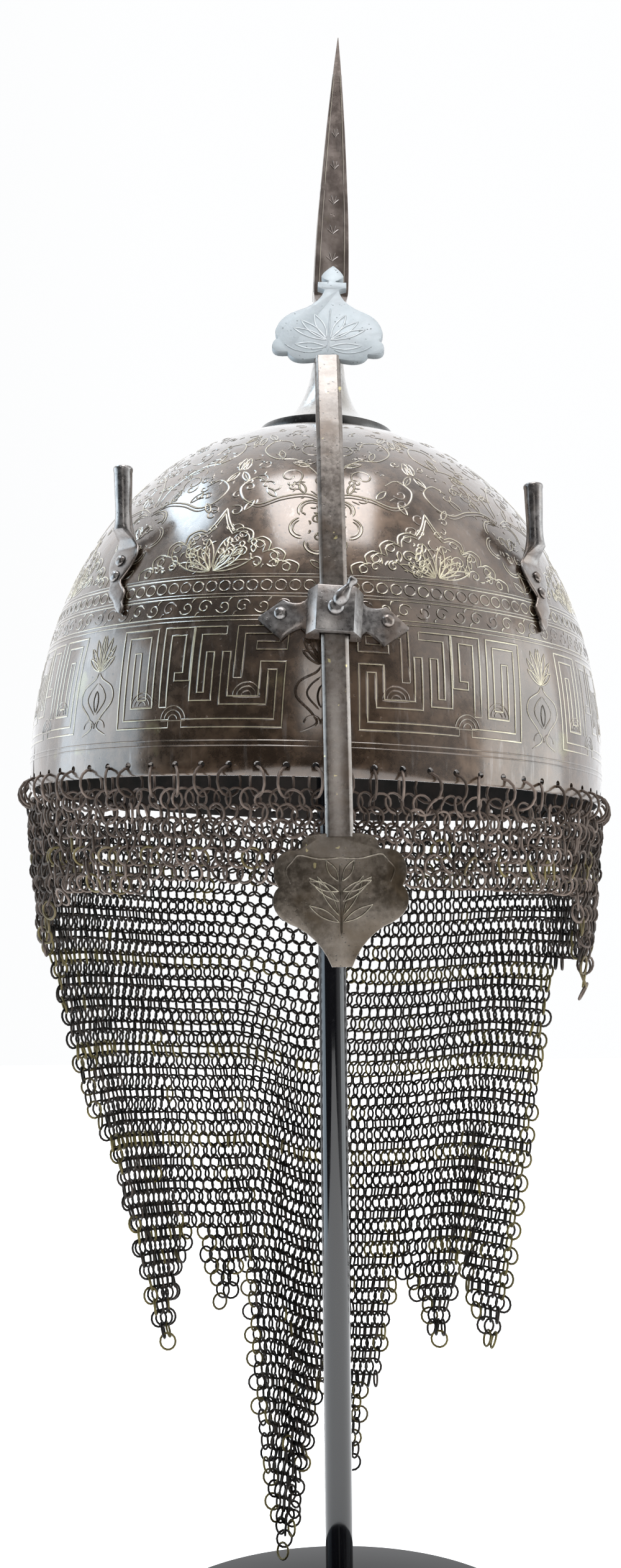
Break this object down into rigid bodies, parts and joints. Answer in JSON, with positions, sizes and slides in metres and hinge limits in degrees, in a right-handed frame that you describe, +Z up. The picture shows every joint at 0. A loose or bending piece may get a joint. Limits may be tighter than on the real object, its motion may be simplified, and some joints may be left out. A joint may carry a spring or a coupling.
{
  "type": "kulah khud helmet on a display stand",
  "caption": "Domed steel helmet with a square spike, sliding nasal bar, plume holders and a dagged mail neck guard, on a round-based display stand.",
  "frame": {"origin": "centre of the underside of the stand's base", "axes": "+Z up through the stand and the spike, -Y the front of the helmet with the nasal bar, +X to the right of someone who faces it"},
  "size_m": [0.202, 0.2147, 0.5771],
  "materials": {
    "bowl_steel": "russet brown patinated steel, satin, with pale engraved ornament",
    "grey_iron": "worn grey-brown iron with bright edges",
    "mail_wire": "dark oxidised iron wire, some rings brass-tinted",
    "stand_black": "glossy black lacquer"
  },
  "bodies": {
    "helmet_and_stand": {"bowl": "bowl_steel", "crown_stem": "grey_iron", "spike": "bowl_steel", "nasal_bracket": "grey_iron", "bracket_rivet_left": "grey_iron", "bracket_rivet_right": "grey_iron", "plume_holder_left": "grey_iron", "plume_holder_right": "grey_iron", "plume_rivet_left_1": "grey_iron", "plume_rivet_left_2": "grey_iron", "plume_rivet_right_1": "grey_iron", "plume_rivet_right_2": "grey_iron", "mail_aventail": "mail_wire", "stand_base": "stand_black", "stand_post": "stand_black", "stand_cradle": "stand_black"},
    "nasal": {"nasal_bar": "grey_iron"},
    "screw": {"clamp_screw": "grey_iron"}
  },
  "joints": [
    {"name": "nasal_slide", "type": "hinge", "parent": "helmet_and_stand", "child": "nasal", "pos_m": [0.0015, 0.35649, 0.24063], "axis": [-1, 0, -0.0087], "range_deg": [-9.9, 6.9]},
    {"name": "clamp_turn", "type": "hinge", "parent": "helmet_and_stand", "child": "screw", "pos_m": [0.00053, -0.09571, 0.35179], "axis": [0.0506, -0.9701, 0.2372], "continuous": true}
  ]
}
